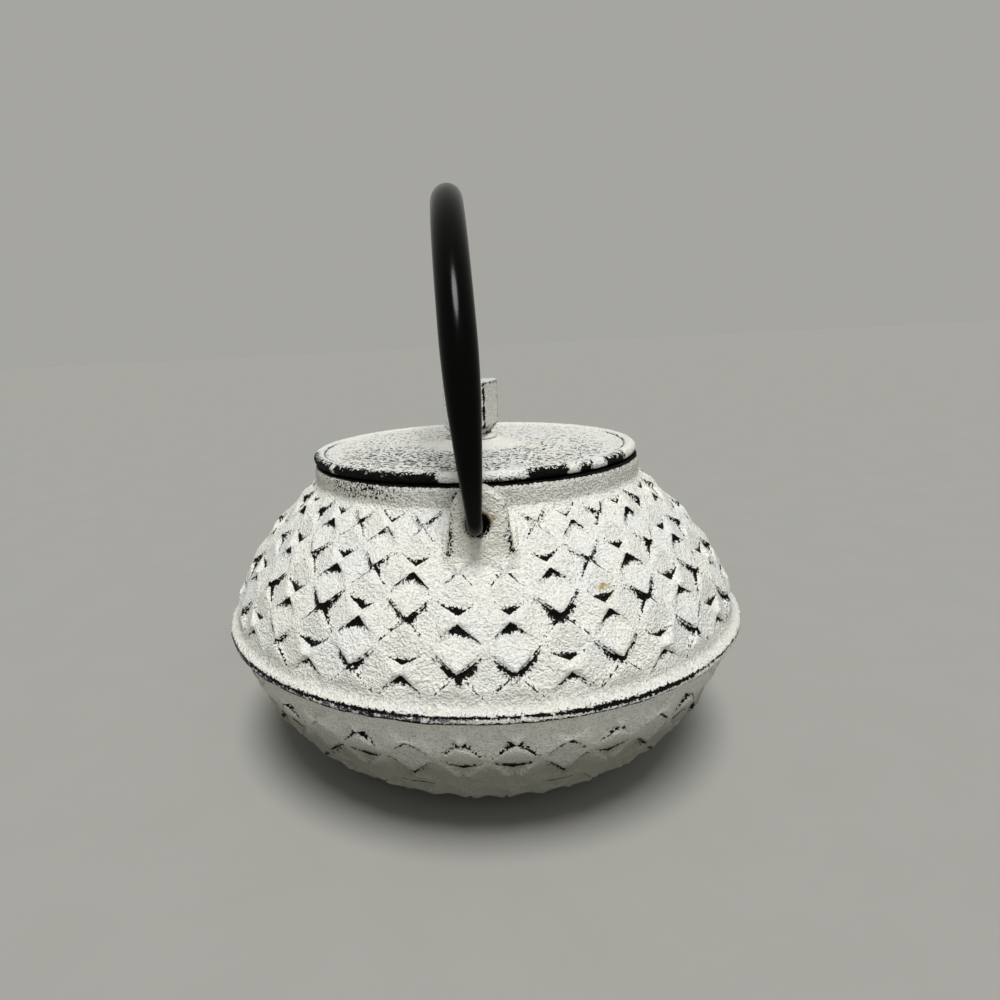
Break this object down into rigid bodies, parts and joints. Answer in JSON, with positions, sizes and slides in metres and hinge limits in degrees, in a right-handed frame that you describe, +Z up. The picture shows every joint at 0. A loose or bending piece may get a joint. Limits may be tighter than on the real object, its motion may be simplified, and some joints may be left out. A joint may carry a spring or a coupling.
{
  "type": "cast iron teapot",
  "caption": "Squat cast-iron teapot with a folded-diamond relief, flat lid with a cube knob, swinging bail handle, short spout and a lift-out mesh infuser.",
  "frame": {"origin": "centre of the flat foot, on the table, on the pot's axis", "axes": "+Z up along the pot's axis; the ears and the bail's pivot line lie along Y; the spout points along +Y"},
  "size_m": [0.16, 0.1841, 0.1734],
  "materials": {
    "painted_iron": "rough chalky off-white paint, worn to black at the edges",
    "bail_lacquer": "satin black lacquer",
    "steel": "brushed stainless steel"
  },
  "bodies": {
    "pot": {"pot_body": "painted_iron"},
    "bail": {"bail_handle": "bail_lacquer"},
    "lid": {"lid_plate": "painted_iron", "lid_knob": "painted_iron", "knob_screw": "steel", "knob_washer": "steel"},
    "infuser": {"infuser_rim": "steel", "infuser_wall": "steel", "infuser_cup": "steel", "infuser_base_mesh": "steel", "infuser_seam": "steel"}
  },
  "joints": [
    {"name": "bail_swing", "type": "hinge", "parent": "pot", "child": "bail", "pos_m": [-0.0012, 0, 0.087], "axis": [0, 1, 0], "range_deg": [-100, 106]},
    {"name": "lid_lift", "type": "slide", "parent": "pot", "child": "lid", "axis": [0, 0, 1], "range_m": [0, 0.03]},
    {"name": "infuser_lift", "type": "slide", "parent": "pot", "child": "infuser", "axis": [0, 0, 1], "range_m": [0, 0.027]}
  ],
  "couplings": [
    {"joint": "infuser_lift", "follows": "lid_lift", "ratio": 0.9}
  ]
}
